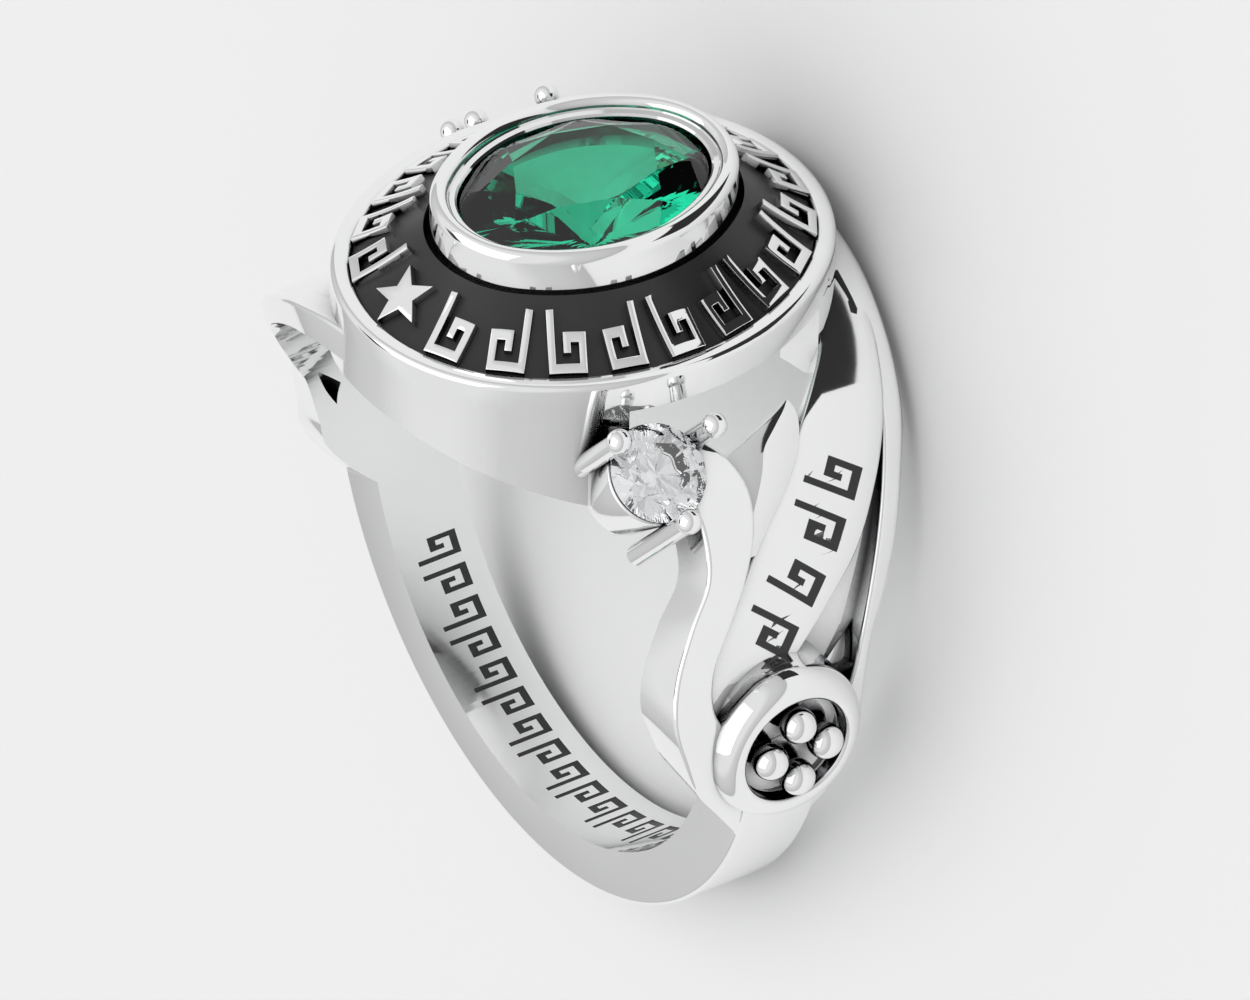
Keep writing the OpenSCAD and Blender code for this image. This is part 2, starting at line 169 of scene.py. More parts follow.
ORNAMENT_OUT = (RECESS_IN + RECESS_OUT) / 2
PITCH = oval_length(ORNAMENT_OUT) / (FRET_COUNT + STAR_SHARE)
SLOPE_TILT = math.atan((slope_z(RECESS_IN) - slope_z(RECESS_OUT)) / (RECESS_OUT - RECESS_IN))
FRET_H = (RECESS_OUT - RECESS_IN) / math.cos(SLOPE_TILT) - 2 * FRET_MARGIN
BEZEL_TOP = GIRDLE_Z + BEZEL_H
LIP_BEAD = (BEZEL_T + LIP) / 2
STEEP_SHARE = 0.34
LIP_Z = GIRDLE_Z + GIRDLE_T / 2 + LIP * CROWN_H / (HALF_W * STEEP_SHARE) + FIT_GAP
LIP_UP = BEZEL_TOP - LIP_Z


# Meshes


def new_object(name, points, faces, finish=POLISHED):
    mesh = bpy.data.meshes.new(name)
    build = bmesh.new()
    verts = [build.verts.new(p) for p in points]
    for face in faces:
        build.faces.new([verts[i] for i in face])
    bmesh.ops.remove_doubles(build, verts=build.verts, dist=1e-5)
    bmesh.ops.recalc_face_normals(build, faces=build.faces)
    for face in build.faces:
        face.material_index = finish
    build.to_mesh(mesh)
    build.free()
    obj = bpy.data.objects.new(name, mesh)
    bpy.context.scene.collection.objects.link(obj)
    return obj


def loft(name, rows, wrap):
    """Join rows of points into one closed skin. Each row is a closed loop."""
    count, sides = len(rows), len(rows[0])
    faces = []
    for i in range(count if wrap else count - 1):
        j = (i + 1) % count
        for k in range(sides):
            n = (k + 1) % sides
            faces.append((i * sides + k, j * sides + k, j * sides + n, i * sides + n))
    if not wrap:
        faces.append(tuple(range(sides)))
        faces.append(tuple(range((count - 1) * sides, count * sides)))
    return new_object(name, [p for row in rows for p in row], faces)


def oval_sweep(name, profile):
    rows = []
    for x, y, r, a in oval_stations():
        rows.append([(x + (r + out) * math.cos(a), y + (r + out) * math.sin(a), z)
                     for out, z in profile])
    return loft(name, rows, wrap=True)


def lathe(name, profile, steps):
    """Turn a closed profile of (radius, height) about Z."""
    rows = []
    for i in range(steps):
        a = 2 * math.pi * i / steps
        rows.append([(r * math.cos(a), r * math.sin(a), z) for r, z in profile])
    return loft(name, rows, wrap=True)


def arc(cx, cy, rx, ry, start, end, steps):
    """Points on an arc of an ellipse, in degrees."""
    points = []
    for i in range(steps + 1):
        a = math.radians(start + (end - start) * i / steps)
        points.append((cx + rx * math.cos(a), cy + ry * math.sin(a)))
    return points


def ball(name, radius, centre, steps=40):
    profile = arc(0, 0, radius, radius, -90, 90, steps // 2)
    profile[0] = (0, -radius)
    profile[-1] = (0, radius)
    obj = lathe(name, profile, steps)
    obj.data.transform(Matrix.Translation(centre))
    return obj


def boolean(target, tool, operation):
    """Apply one boolean operation to target and remove the tool."""
    step = target.modifiers.new("step", "BOOLEAN")
    step.operation = operation
    step.solver = "MANIFOLD"
    step.object = tool
    graph = bpy.context.evaluated_depsgraph_get()
    made = bpy.data.meshes.new_from_object(target.evaluated_get(graph))
    target.modifiers.clear()
    old = target.data
    target.data = made
    bpy.data.meshes.remove(old)
    bpy.data.objects.remove(tool)


def copy_of(obj, matrix):
    twin = obj.copy()
    twin.data = obj.data.copy()
    twin.data.transform(matrix)
    bpy.context.scene.collection.objects.link(twin)
    return twin


HALF_TURN = Matrix.Rotation(math.pi, 4, "Z")


# Flat figures, drawn on a plane (u, v), raised along w, and then bent onto a surface

FRET = ((0, 0), (0, 5), (4, 5), (4, 2), (2, 2), (2, 3))


def fret_cells():
    """The squares of a five by six grid that the fret's stroke covers."""
    cells = set()
    for (u0, v0), (u1, v1) in zip(FRET, FRET[1:]):
        for u in range(min(u0, u1), max(u0, u1) + 1):
            for v in range(min(v0, v1), max(v0, v1) + 1):
                cells.add((u, v))
    return sorted(cells)


def fret_faces(width, height, mirrored):
    split = 2
    polygons = []
    for u, v in fret_cells():
        for i in range(split):
            for j in range(split):
                corners = ((i, j), (i + 1, j), (i + 1, j + 1), (i, j + 1))
                polygons.append([((u + a / split) / 5 - 0.5, (v + b / split) / 6 - 0.5)
                                 for a, b in corners])
    side = -width if mirrored else width
    return [[(side * u, height * v) for u, v in polygon] for polygon in polygons]


def star_faces(radius):
    tips = []
    for i in range(10):
        r = radius if i % 2 == 0 else radius * STAR_WAIST
        a = math.radians(36 * i)
        tips.append((r * math.sin(a), r * math.cos(a)))
    return [[(0, 0), tips[i], tips[(i + 1) % 10]] for i in range(10)]


def figure(name, polygons, low, high, bevel, surface):
    """A raised figure: flat faces, extruded from low to high, bevelled and bent onto a surface."""
    build = bmesh.new()
    for polygon in polygons:
        build.faces.new([build.verts.new((u, v, low)) for u, v in polygon])
    bmesh.ops.remove_doubles(build, verts=build.verts, dist=1e-5)
    bmesh.ops.recalc_face_normals(build, faces=build.faces)
    grown = bmesh.ops.extrude_face_region(build, geom=list(build.faces))
    top = [g for g in grown["geom"] if isinstance(g, bmesh.types.BMVert)]
    bmesh.ops.translate(build, verts=top, vec=(0, 0, high - low))
    bmesh.ops.recalc_face_normals(build, faces=build.faces)
    if bevel:
        upper = set(top)
        rim = [e for e in build.edges
               if e.verts[0] in upper and e.verts[1] in upper
               and abs(e.calc_face_angle(0)) > 0.5]
        bmesh.ops.bevel(build, geom=rim, offset=bevel, segments=2, affect="EDGES", profile=0.5)
    bmesh.ops.triangulate(build, faces=build.faces)
    for face in build.faces:
        face.material_index = SATIN
    for vert in build.verts:
        vert.co = surface(*vert.co)
    bmesh.ops.recalc_face_normals(build, faces=build.faces)
    mesh = bpy.data.meshes.new(name)
    build.to_mesh(mesh)
    build.free()
    obj = bpy.data.objects.new(name, mesh)
    bpy.context.scene.collection.objects.link(obj)
    return obj


def slope_surface(length):
    """Bend onto the domed slope at a length along the oval."""
    x, y, r, a = oval_place(length, ORNAMENT_OUT)
    outward = Vector((math.cos(a), math.sin(a), 0))
    along = Vector((-math.sin(a), math.cos(a), 0))
    centre = Vector((x, y, 0)) + outward * (r + ORNAMENT_OUT)
    normal = outward * math.sin(SLOPE_TILT) + Vector((0, 0, math.cos(SLOPE_TILT)))

    def surface(u, v, w):
        level = v * math.cos(SLOPE_TILT)
        base = centre + outward * level - along * u
        reach = math.hypot(r + ORNAMENT_OUT + level, u) - r
        base.z = slope_z(min(max(reach, RECESS_IN), RECESS_OUT))
        return base + normal * w

    return surface


def ornament(low, high, bevel):
    """The star and the frets round the oval, as a list of objects."""
    made = [figure("star", star_faces(STAR_R), low, high, bevel, slope_surface(0))]
    for i in range(1, FRET_COUNT + 1):
        polygons = fret_faces(FRET_W, FRET_H, mirrored=i % 2 == 1)
        place = slope_surface(PITCH * (i - 0.5 + STAR_SHARE / 2))
        made.append(figure("fret", polygons, low, high, bevel, place))
    return made


# Strands of the shoulder: angle above the side of the ring, front edge, back edge and outer
# radius as a share of the shoulder's.
FRONT_STRAND = (
    (-17, -1.2, 0.0, 0.985), (-10, -2.05, -0.3, 0.985), (-4, -2.78, -1.0, 0.985),
    (3, -3.22, -1.5, 0.985), (10, -3.48, -2.15, 0.98), (17, -3.22, -1.95, 0.975),
    (24, -2.52, -1.05, 0.975), (30, -1.68, -0.3, 0.975), (36, -1.4, 0.22, 0.98),
    (42, -1.4, 0.38, 0.985), (48, -1.6, 0.0, 0.99), (53, -1.9, -0.8, 0.98),
)
PANEL = (
    (-12, -1.2, -0.2, 0.965), (-4, -2.1, -0.5, 0.965), (4, -2.5, -0.3, 0.96),
    (11, -2.3, 0.4, 0.95), (19, -1.7, 2.0, 0.935), (26, -0.55, 3.4, 0.92),
    (35, 0.85, 4.6, 0.9), (42, 1.98, 5.32, 0.893), (48, 2.98, 5.8, 0.89),
    (54, 3.9, 6.15, 0.89), (60, 4.7, 6.45, 0.89), (68, 5.3, 6.7, 0.89), (76, 5.7, 6.75, 0.888),
)
BACK_STRAND = (
    (-22, -0.2, 0.8, 0.975), (-15, 0.3, 1.95, 0.967), (-8, 1.2, 2.74, 0.95),
    (-2, 2.1, 2.95, 0.93), (4, 2.7, 3.2, 0.915), (10, 3.1, 3.52, 0.905), (17, 3.55, 4.12, 0.9),
    (26, 4.2, 4.87, 0.893), (35, 4.86, 5.53, 0.885), (44, 5.42, 6.15, 0.885),
    (53, 5.8, 6.57, 0.885), (62, 6.0, 6.85, 0.89), (70, 6.1, 7.05, 0.893),
    (78, 6.15, 7.12, 0.9), (86, 6.15, 7.12, 0.905),
)
WEB = (
    (-5, -0.8, 1.0, 0.85), (0, -0.7, 1.5, 0.85), (6, -0.4, 2.36, 0.85), (12, 0.2, 3.3, 0.85),
    (16, 1.0, 3.9, 0.85), (26, 2.8, 4.6, 0.85), (38, 4.3, 5.4, 0.85), (52, 5.4, 6.1, 0.85),
    (66, 5.8, 6.5, 0.85),
)
LEAF = (
    (31, -0.6, 0.3, 0.93), (35, -0.5, 1.0, 0.932), (39, -0.3, 1.75, 0.935),
    (43, 0.0, 2.4, 0.935), (46.5, 0.3, 2.82, 0.93), (49, 1.2, 2.98, 0.925),
    (51, 2.1, 2.98, 0.92), (52.5, 2.76, 2.9, 0.915),
)
EDGE = 0.12
ROW_STEPS = 8
SEARCH_STEPS = 40
TOP_SPLITS = 6


def spline(a, b, c, d, t):
    return 0.5 * (2 * b + (c - a) * t + (2 * a - 5 * b + 4 * c - d) * t * t
                  + (3 * b - a - 3 * c + d) * t * t * t)


def row_between(rows, i, t):
    """A row between row i and the next, on a smooth curve through the table."""
    near = (rows[max(i - 1, 0)], rows[i], rows[min(i + 1, len(rows) - 1)],
            rows[min(i + 2, len(rows) - 1)])
    return tuple(spline(*values, t) for values in zip(*near))


def smooth_rows(rows, steps):
    made = []
    for i in range(len(rows) - 1):
        for k in range(steps):
            made.append(row_between(rows, i, k / steps))
    return made + [rows[-1]]


def row_at(rows, angle):
    """The smooth row of a table nearest to an angle, between two rows of it."""
    i = max(k for k in range(len(rows) - 1) if rows[k][0] <= angle or k == 0)
    near = [row_between(rows, i, k / SEARCH_STEPS) for k in range(SEARCH_STEPS + 1)]
    return min(near, key=lambda row: abs(row[0] - angle))


def around(r, y, degrees):
    a = math.radians(degrees)
    return Vector((r * math.cos(a), y, r * math.sin(a)))


def flat_section(front, back, r):
    """Flat top with rounded edges, as (radius, y)."""
    edge = min(EDGE, (back - front) * 0.4)
    left = arc(r - edge, front + edge, edge, edge, -90, 0, 4)
    right = arc(r - edge, back - edge, edge, edge, 0, 90, 4)
    width = back - front - 2 * edge
    top = [(r, front + edge + width * i / TOP_SPLITS) for i in range(1, TOP_SPLITS)]
    return [(HOLE_R - SUNK, front)] + left + top + right + [(HOLE_R - SUNK, back)]


def ridged_section(front, back, r):
    """Two facets that meet in a ridge, as (radius, y)."""
    fall = (back - front) * 0.12
    middle = (front + back) / 2
    flat = 0.02
    return [
        (HOLE_R - SUNK, front), (r - fall, front), (r, middle - flat), (r, middle + flat),
        (r - fall, back), (HOLE_R - SUNK, back),
    ]


def strand(name, table, section=flat_section):
    rows = []
    for a, front, back, share in smooth_rows(table, ROW_STEPS):
        rows.append([around(r, y, a) for r, y in section(front, back, share * SIDE_R)])
    return loft(name, rows, wrap=False)


def rosette():
    """The round setting and its four balls, as a list of objects about the X axis."""
    base = HOLE_R - SUNK
    opening = ROSETTE_R - ROSETTE_RIM
    round_in = CREST_R - opening
    floor = ROSETTE_TOP - ROSETTE_DEPTH
    profile = [(0, base), (CREST_R + FLANK_W, base)]
    profile += arc(CREST_R, ROSETTE_TOP - FLANK_H, FLANK_W, FLANK_H, 0, 90, 16)
    profile += arc(CREST_R, ROSETTE_TOP - round_in, round_in, round_in, 100, 180, 6)
    fillet = 0.08
    profile += arc(opening - fillet, floor + fillet, fillet, fillet, 0, -90, 3)
    profile += [(0, floor)]
    made = [lathe("rosette", profile, 96)]
    ring = opening - BEAD_R - BEAD_WALL
    for k in range(4):
        a = k * math.pi / 2
        centre = (ring * math.sin(a), ring * math.cos(a), floor + BEAD_R - BEAD_SUNK)
        made.append(ball("bead", BEAD_R, centre))
    turn = Matrix.Translation((0, 0, ROSETTE_UP)) @ Matrix.Rotation(math.pi / 2, 4, "Y")
    for obj in made:
        obj.data.transform(turn)
    return made


ACCENT_CROWN = 0.16 * 2 * ACCENT_R
ACCENT_PAVILION = 0.42 * 2 * ACCENT_R
AT_ACCENT = (
    Matrix.Rotation(math.radians(-ACCENT_ANGLE), 4, "Y")
    @ Matrix.Translation((ACCENT_OUT, -ACCENT_Y, 0))
    @ Matrix.Rotation(math.pi / 2, 4, "Y")
)


def basket():
    """The setting of a small stone: a cup and three prongs, in the stone's frame."""
    depth = ACCENT_OUT - HOLE_R + SUNK
    circle = ACCENT_R + PRONG_R - PRONG_OVER
    up = ACCENT_CROWN + PRONG_STAND
    ease = 0.08
    bore = ACCENT_R / 2
    cup = [(bore, -depth), (ACCENT_R + SEAT_W - CUP_TAPER, -depth)]
    cup += arc(ACCENT_R + SEAT_W - ease, -SEAT_DROP - ease, ease, ease, 0, 90, 4)
    cup += [(bore, -SEAT_DROP)]
    made = [lathe("cup", cup, 72)]
    rod = [(0, -depth), (PRONG_R, -depth), (PRONG_R, up), (0, up)]
    for angle in PRONG_ANGLES:
        turn = Matrix.Rotation(math.radians(angle), 4, "Z") @ Matrix.Translation((circle, 0, 0))
        for part in (lathe("prong", rod, 28), ball("tip", PRONG_BALL_R, (0, 0, up), 32)):
            part.data.transform(turn)
            made.append(part)
    for obj in made:
        obj.data.transform(AT_ACCENT)
    return made


def stone_space():
    """The room that a small stone needs in its setting."""
    girdle = ACCENT_R + FIT_GAP
    top = ACCENT_CROWN + FIT_GAP
    room = lathe("room", [
        (0, -ACCENT_PAVILION - 2 * FIT_GAP), (girdle, -2 * FIT_GAP), (girdle, FIT_GAP),
        (ACCENT_R / 2, top), (0, top),
    ], 72)
    room.data.transform(AT_ACCENT)
    return room


SKIRT_FROM, SKIRT_TO = -20, -138
SKIRT_LOW = 0.6
SKIRT_LAP = 0.3


def skirt():
    """The plate's side wall, carried down to the finger hole, from one angle to another."""
    rows = []
    low, high = HOLE_R * SKIRT_LOW, PLATE_Z + SKIRT_LAP
    start, end = math.radians(SKIRT_TO), math.radians(SKIRT_FROM)
    for x, y, r, a in oval_stations():
        px, py = x + (r + PLATE_REACH) * math.cos(a), y + (r + PLATE_REACH) * math.sin(a)
        where = math.atan2(py, px)
        if start <= where <= end:
            rows.append((where, [
                (x + (r + out) * math.cos(a), y + (r + out) * math.sin(a), z)
                for out, z in ((PLATE_REACH - SKIRT_T, low), (PLATE_REACH, low),
                               (PLATE_REACH, high), (PLATE_REACH - SKIRT_T, high))
            ]))
    rows.sort(key=lambda row: row[0])
    return loft("skirt", [row for _, row in rows], wrap=False)


def shoulder():
    made = [
        strand("front_strand", FRONT_STRAND),
        strand("panel", PANEL),
        strand("back_strand", BACK_STRAND),
        strand("leaf", LEAF, ridged_section),
        strand("web", WEB),
    ]
    return made + rosette()


def band():
    """The lower half of the ring, with rounded outer edges."""
    ease = 0.15
    half = BAND_W / 2
    steps = 128
    rows = []
    for i in range(steps + 1):
        a = -math.pi * i / steps
        section = [(HOLE_R - SUNK, -half)]
        section += arc(BAND_R - ease, -half + ease, ease, ease, -90, 0, 4)
        section += arc(BAND_R - ease, half - ease, ease, ease, 0, 90, 4)
        section += [(HOLE_R - SUNK, half)]
        rows.append([(r * math.cos(a), y, r * math.sin(a) + BAND_UP) for r, y in section])
    return loft("band", rows, wrap=False)


def finger_cutter(drop=0.0, share=1.0):
    """The finger hole, or a narrower one, with its height scaled."""
    r = HOLE_R - drop
    reach = 20
    cutter = lathe("finger", [(0, -reach), (r, -reach), (r, reach), (0, reach)], 256)
    cutter.data.transform(Matrix.Scale(share, 4, (0, 0, 1)) @ Matrix.Rotation(math.pi / 2, 4, "X"))
    return cutter


def head():
    """Plate, dome and bezel."""
    rim_edge, rim_ease = 0.16, 0.1
    seat = 2 * FIT_GAP
    ledge = -0.9
    groove, groove_low = 0.05, 0.26
    top_r, top_h = 0.26, 0.3
    lip_edge = 0.06
    bend_out, bend_up = 0.03, 0.09
    waist_in, waist_up = 0.02, 0.2
    collar = slope_z(RECESS_IN)
    profile = [(PLATE_REACH - SKIRT_T, PLATE_Z), (PLATE_REACH, PLATE_Z)]
    profile += arc(PLATE_REACH - rim_edge, RIM_TOP - rim_edge, rim_edge, rim_edge, 0, 90, 6)
    profile += arc(RECESS_OUT + rim_ease, RIM_TOP - rim_ease, rim_ease, rim_ease, 90, 180, 4)
    profile += slope_line(0, RECESS_OUT, RECESS_IN)
    profile += [(BEZEL_T + bend_out, collar + bend_up), (BEZEL_T - waist_in, collar + waist_up)]
    profile += arc(BEZEL_T - top_r, BEZEL_TOP - top_h, top_r, top_h, 0, 165, 16)
    profile += [
        (-groove, BEZEL_TOP - groove_low), (-LIP + lip_edge, LIP_Z + lip_edge), (-LIP, LIP_Z),
    ]
    profile += [
        (seat, GIRDLE_Z + GIRDLE_T / 2 + FIT_GAP),
        (seat, GIRDLE_Z - GIRDLE_T / 2 - FIT_GAP),
        (ledge, GIRDLE_Z - GIRDLE_T / 2 - seat + ledge * PAVILION_H / HALF_W),
        (ledge, collar - DOME_T),
    ]
    profile += slope_line(-DOME_T, RECESS_IN, PLATE_REACH - SKIRT_T)
    return oval_sweep("head", profile)


def join_all(base, parts):
    for part in parts:
        boolean(base, part, "UNION")


def motif_surface(r, angle, y):
    """Bend onto the band, at a radius, an angle and a place across."""
    def surface(u, v, w):
        return around(r + w, y + v, angle + math.degrees(u / r))

    return surface


# Angle above the side of the ring and place across, of each figure on the panel
PANEL_MOTIFS = ((18.5, 0.1), (25.0, 1.3), (31.8, 2.4), (38.5, 3.4))
PANEL_MOTIF_SIZE = (0.95, 1.6)
BAND_MOTIFS = 18
BAND_MOTIF_SIZE = (0.68, 1.4)
BAND_FROM, BAND_SPAN = 215, 110
# From and to, outwards from the surface, of each cut and of its black filling. The panel's
# filling stands proud, because the metal still covered it when it lay below the surface.
PANEL_CUT = (-0.14, 0.4)
PANEL_FILL = (-0.13, 0.015)
BAND_CUT = (-0.3, 0.12)
BAND_FILL = (0.02, 0.11)


def panel_surface(angle, y, lean):
    """Bend onto the panel, whose radius changes along it."""
    def surface(u, v, w):
        r = row_at(PANEL, angle)[3] * SIDE_R
        along = u * math.cos(lean) - v * math.sin(lean)
        across = u * math.sin(lean) + v * math.cos(lean)
        turn = angle + math.degrees(along / r)
        return around(row_at(PANEL, turn)[3] * SIDE_R + w, y + across, turn)

    return surface


def panel_motifs(low, high):
    made = []
    for i, (angle, y) in enumerate(PANEL_MOTIFS):
        here, there = row_at(PANEL, angle - 2), row_at(PANEL, angle + 2)
        rise = (there[1] + there[2] - here[1] - here[2]) / 2
        run = here[3] * SIDE_R * math.radians(there[0] - here[0])
        surface = panel_surface(angle, y, math.atan2(rise, run))
        faces = fret_faces(*PANEL_MOTIF_SIZE, i % 2 == 0)
        made.append(figure("motif", faces, low, high, 0, surface))
    return made


def band_motifs(low, high):
    made = []
    for i in range(BAND_MOTIFS):
        angle = BAND_FROM + BAND_SPAN * i / (BAND_MOTIFS - 1)
        surface = motif_surface(HOLE_R, angle, 0)
        faces = fret_faces(*BAND_MOTIF_SIZE, i % 2 == 0)
        made.append(figure("motif", faces, low, high, 0, surface))
    return made


def build_body():
    ring = band()
    half = shoulder()
    join_all(ring, half + [copy_of(obj, HALF_TURN) for obj in half])
    boolean(ring, finger_cutter(), "DIFFERENCE")
    settings = basket()
    settings += [copy_of(obj, HALF_TURN) for obj in settings]
    for obj in settings:
        boolean(obj, finger_cutter(drop=SKIRT_DROP), "DIFFERENCE")
    walls = [skirt()]
    walls.append(copy_of(walls[0], HALF_TURN))
    for obj in walls:
        boolean(obj, finger_cutter(share=1 - SKIRT_DROP / HOLE_R), "DIFFERENCE")
    join_all(ring, settings + walls)
    room = stone_space()
    for cut in (copy_of(room, HALF_TURN), room):
        boolean(ring, cut, "DIFFERENCE")
    join_all(ring, [head()])
    join_all(ring, ornament(-RELIEF_SUNK, RELIEF_H, RELIEF_BEVEL))
    for cut in panel_motifs(*PANEL_CUT):
        twin = copy_of(cut, HALF_TURN)
        boolean(ring, cut, "DIFFERENCE")
        boolean(ring, twin, "DIFFERENCE")
    for cut in band_motifs(*BAND_CUT):
        boolean(ring, cut, "DIFFERENCE")
    return ring


def merge(name, parts):
    """One object out of several that don't touch."""
    joined = bmesh.new()
    for part in parts:
        joined.from_mesh(part.data)
        bpy.data.objects.remove(part)
    mesh = bpy.data.meshes.new(name)
    joined.to_mesh(mesh)
    joined.free()
    obj = bpy.data.objects.new(name, mesh)
    bpy.context.scene.collection.objects.link(obj)
    return obj


def build_enamel():
    line = slope_line(FIT_GAP, RECESS_IN + FIT_GAP, RECESS_OUT - FIT_GAP)
    cover = slope_line(FIT_GAP + ENAMEL_T, RECESS_OUT - FIT_GAP, RECESS_IN + FIT_GAP)
    enamel = oval_sweep("enamel", line + cover)
    for cut in ornament(-CUT_OVER, RELIEF_H + CUT_OVER, 0):
        boolean(enamel, cut, "DIFFERENCE")
    return enamel


def build_inlays():
    panel = panel_motifs(*PANEL_FILL)
    panel += [copy_of(obj, HALF_TURN) for obj in panel]
    return merge("inlay", panel + band_motifs(*BAND_FILL))


def brilliant(name, size_x, size_y, crown, pavilion, girdle):
    """A cut stone: table, star, crown and pavilion facets."""
    table_r, star_meet, low_meet, fine = 0.56, 0.77, 0.24, 4
    half_step = math.pi / 8
    star_z = crown - (star_meet * math.cos(half_step) - table_r) * crown / (1 - table_r)
    low_z = pavilion - low_meet * math.cos(half_step) * pavilion
    rim = 16 * fine

    def ring(r, z, count, start):
        return [(r * math.cos(start + 2 * math.pi * i / count),
                 r * math.sin(start + 2 * math.pi * i / count), z) for i in range(count)]

    points = ring(table_r, girdle / 2 + crown, 8, 0)
    points += ring(star_meet, girdle / 2 + star_z, 8, half_step)
    points += ring(low_meet, -girdle / 2 - low_z, 8, half_step)
    points += [(0, 0, -girdle / 2 - pavilion)]
    points += ring(1, girdle / 2, rim, 0)
    points += ring(1, -girdle / 2, rim, 0)
    star, meet, culet, upper = 8, 16, 24, 25
    lower = upper + rim
    faces = [tuple(range(8))]
    for i in range(8):
        n, back, g = (i + 1) % 8, (i + 7) % 8, 2 * i * fine
        faces.append((i, n, star + i))
        faces.append((i, star + i, upper + g, star + back))
        faces.append((culet, meet + i, lower + g, meet + back))
        for k in range(2 * fine):
            a, b = g + k, (g + k + 1) % rim
            faces.append((star + i, upper + b, upper + a))
            faces.append((meet + i, lower + a, lower + b))
            faces.append((upper + a, upper + b, lower + b, lower + a))
    points = [(x * size_x, y * size_y, z) for x, y, z in points]
    return new_object(name, points, faces)


# Laying the ring on its back side, as it rests


def lay_matrix():
    tilt = math.atan2(HALF_L + PLATE_REACH - BAND_W / 2, HOLE_R - SKIRT_DROP + BASE_R)
    lift = BAND_W / 2 * math.cos(tilt) + BASE_R * math.sin(tilt)
    bead_reach = math.hypot(LIP_BEAD * math.sin(tilt), LIP_UP * math.cos(tilt))
    head_reach = (HALF_L + BEZEL_T - LIP_BEAD) * math.sin(tilt) + LIP_Z * math.cos(tilt)
    foot_reach = BAND_W / 2 * math.sin(tilt) + BASE_R * math.cos(tilt)
    shift = (head_reach + bead_reach - foot_reach) / 2
    return (Matrix.Translation((0, shift, lift)) @ Matrix.Rotation(math.pi, 4, "Z")
            @ Matrix.Rotation(tilt - math.pi / 2, 4, "X"))


LAY = lay_matrix()
TO_METRES = Matrix.Scale(MM, 4)


def place(obj, name, slot, nodes, materials, sharp=None):
    """Lay a piece down in metres, name it, give it its materials and, when asked, smooth shading,
    hang it under the root and hide the CAD parts that it replaces.
    """
    obj.name = name
    obj.data.transform(TO_METRES @ LAY)
    obj.data.materials.clear()
    for material in materials:
        obj.data.materials.append(material)
    if sharp is not None:
        obj.data.shade_smooth()
        obj.data.set_sharp_from_angle(angle=math.radians(sharp))
        even = obj.modifiers.new("even", "WEIGHTED_NORMAL")
        even.keep_sharp = True
    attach(obj, "root")
    if nodes:
        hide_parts(*nodes)
    return obj


# Materials

# Painted shade in closed-in places: how far the occlusion looks, the occlusion share that runs from
# dark to full colour, and the dark colour painted there.
CLOSED_REACH = 0.0016
CLOSED_AT, OPEN_AT = 0.25, 0.8
PAINTED_SHADE_TONE = (0.06, 0.06, 0.065)
FINE_BUMP = 0.00001


class Nodes:
    """A short way to write a material's nodes."""

    def __init__(self, name):
        self.material = bpy.data.materials.new(name)
        self.material.use_nodes = True
        self.tree = self.material.node_tree
        self.shader = self.tree.nodes["Principled BSDF"]

    def add(self, kind, **inputs):
        node = self.tree.nodes.new(kind)
        for key, value in inputs.items():
            node.inputs[key.replace("_", " ")].default_value = value
        return node

    def link(self, out, into):
        self.tree.links.new(out, into)

    def noise(self, scale, detail=3.0, stretch=(1, 1, 1), roughness=0.5):
        where = self.tree.nodes.new("ShaderNodeTexCoord")
        fit = self.tree.nodes.new("ShaderNodeMapping")
        fit.inputs["Scale"].default_value = stretch
        self.link(where.outputs["Object"], fit.inputs["Vector"])
        node = self.add("ShaderNodeTexNoise", Scale=scale, Detail=detail, Roughness=roughness)
        self.link(fit.outputs["Vector"], node.inputs["Vector"])
        return node.outputs["Fac"]

    def spread(self, value, low, high):
        node = self.add("ShaderNodeMapRange", To_Min=low, To_Max=high)
        self.link(value, node.inputs["Value"])
        return node.outputs["Result"]

    def blend(self, value, first, second):
        node = self.tree.nodes.new("ShaderNodeMix")
        node.data_type = "RGBA"
        node.inputs["A"].default_value = (*first, 1)
        node.inputs["B"].default_value = (*second, 1)
        self.link(value, node.inputs["Factor"])
        return node.outputs["Result"]

    def bump(self, value, strength, distance):
        node = self.add("ShaderNodeBump", Strength=strength, Distance=distance)
        self.link(value, node.inputs["Height"])
        self.link(node.outputs["Normal"], self.shader.inputs["Normal"])


def metal(name, low, high, rough_low, rough_high, bump):
    """Silver with painted shade: its colour goes dark where it is closed in, for shade in the
    hollows and partly for oxide there.
    """
    m = Nodes(name)
    m.shader.inputs["Metallic"].default_value = 1.0
    # Painted shade: an ambient occlusion mask darkens the base colour where the silver is closed
    # in.
    open_share = m.add("ShaderNodeAmbientOcclusion", Distance=CLOSED_REACH)
    open_share.samples = 8
    depth = m.add("ShaderNodeMapRange", From_Min=CLOSED_AT, From_Max=OPEN_AT)
    m.link(open_share.outputs["AO"], depth.inputs["Value"])
    painted_shade_colour = m.blend(depth.outputs["Result"], PAINTED_SHADE_TONE, high)
    cloud = m.spread(m.noise(260, 4.0), low, 1.0)
    mix = m.tree.nodes.new("ShaderNodeMix")
    mix.data_type = "RGBA"
    mix.blend_type = "MULTIPLY"
    mix.inputs["Factor"].default_value = 1.0
    m.link(painted_shade_colour, mix.inputs["A"])
    m.link(cloud, mix.inputs["B"])
    m.link(mix.outputs["Result"], m.shader.inputs["Base Color"])
    m.link(m.spread(m.noise(700, 5.0), rough_low, rough_high), m.shader.inputs["Roughness"])
    m.bump(m.noise(2600, 4.0, stretch=(1, 0.12, 1)), bump, FINE_BUMP)
    return m.material


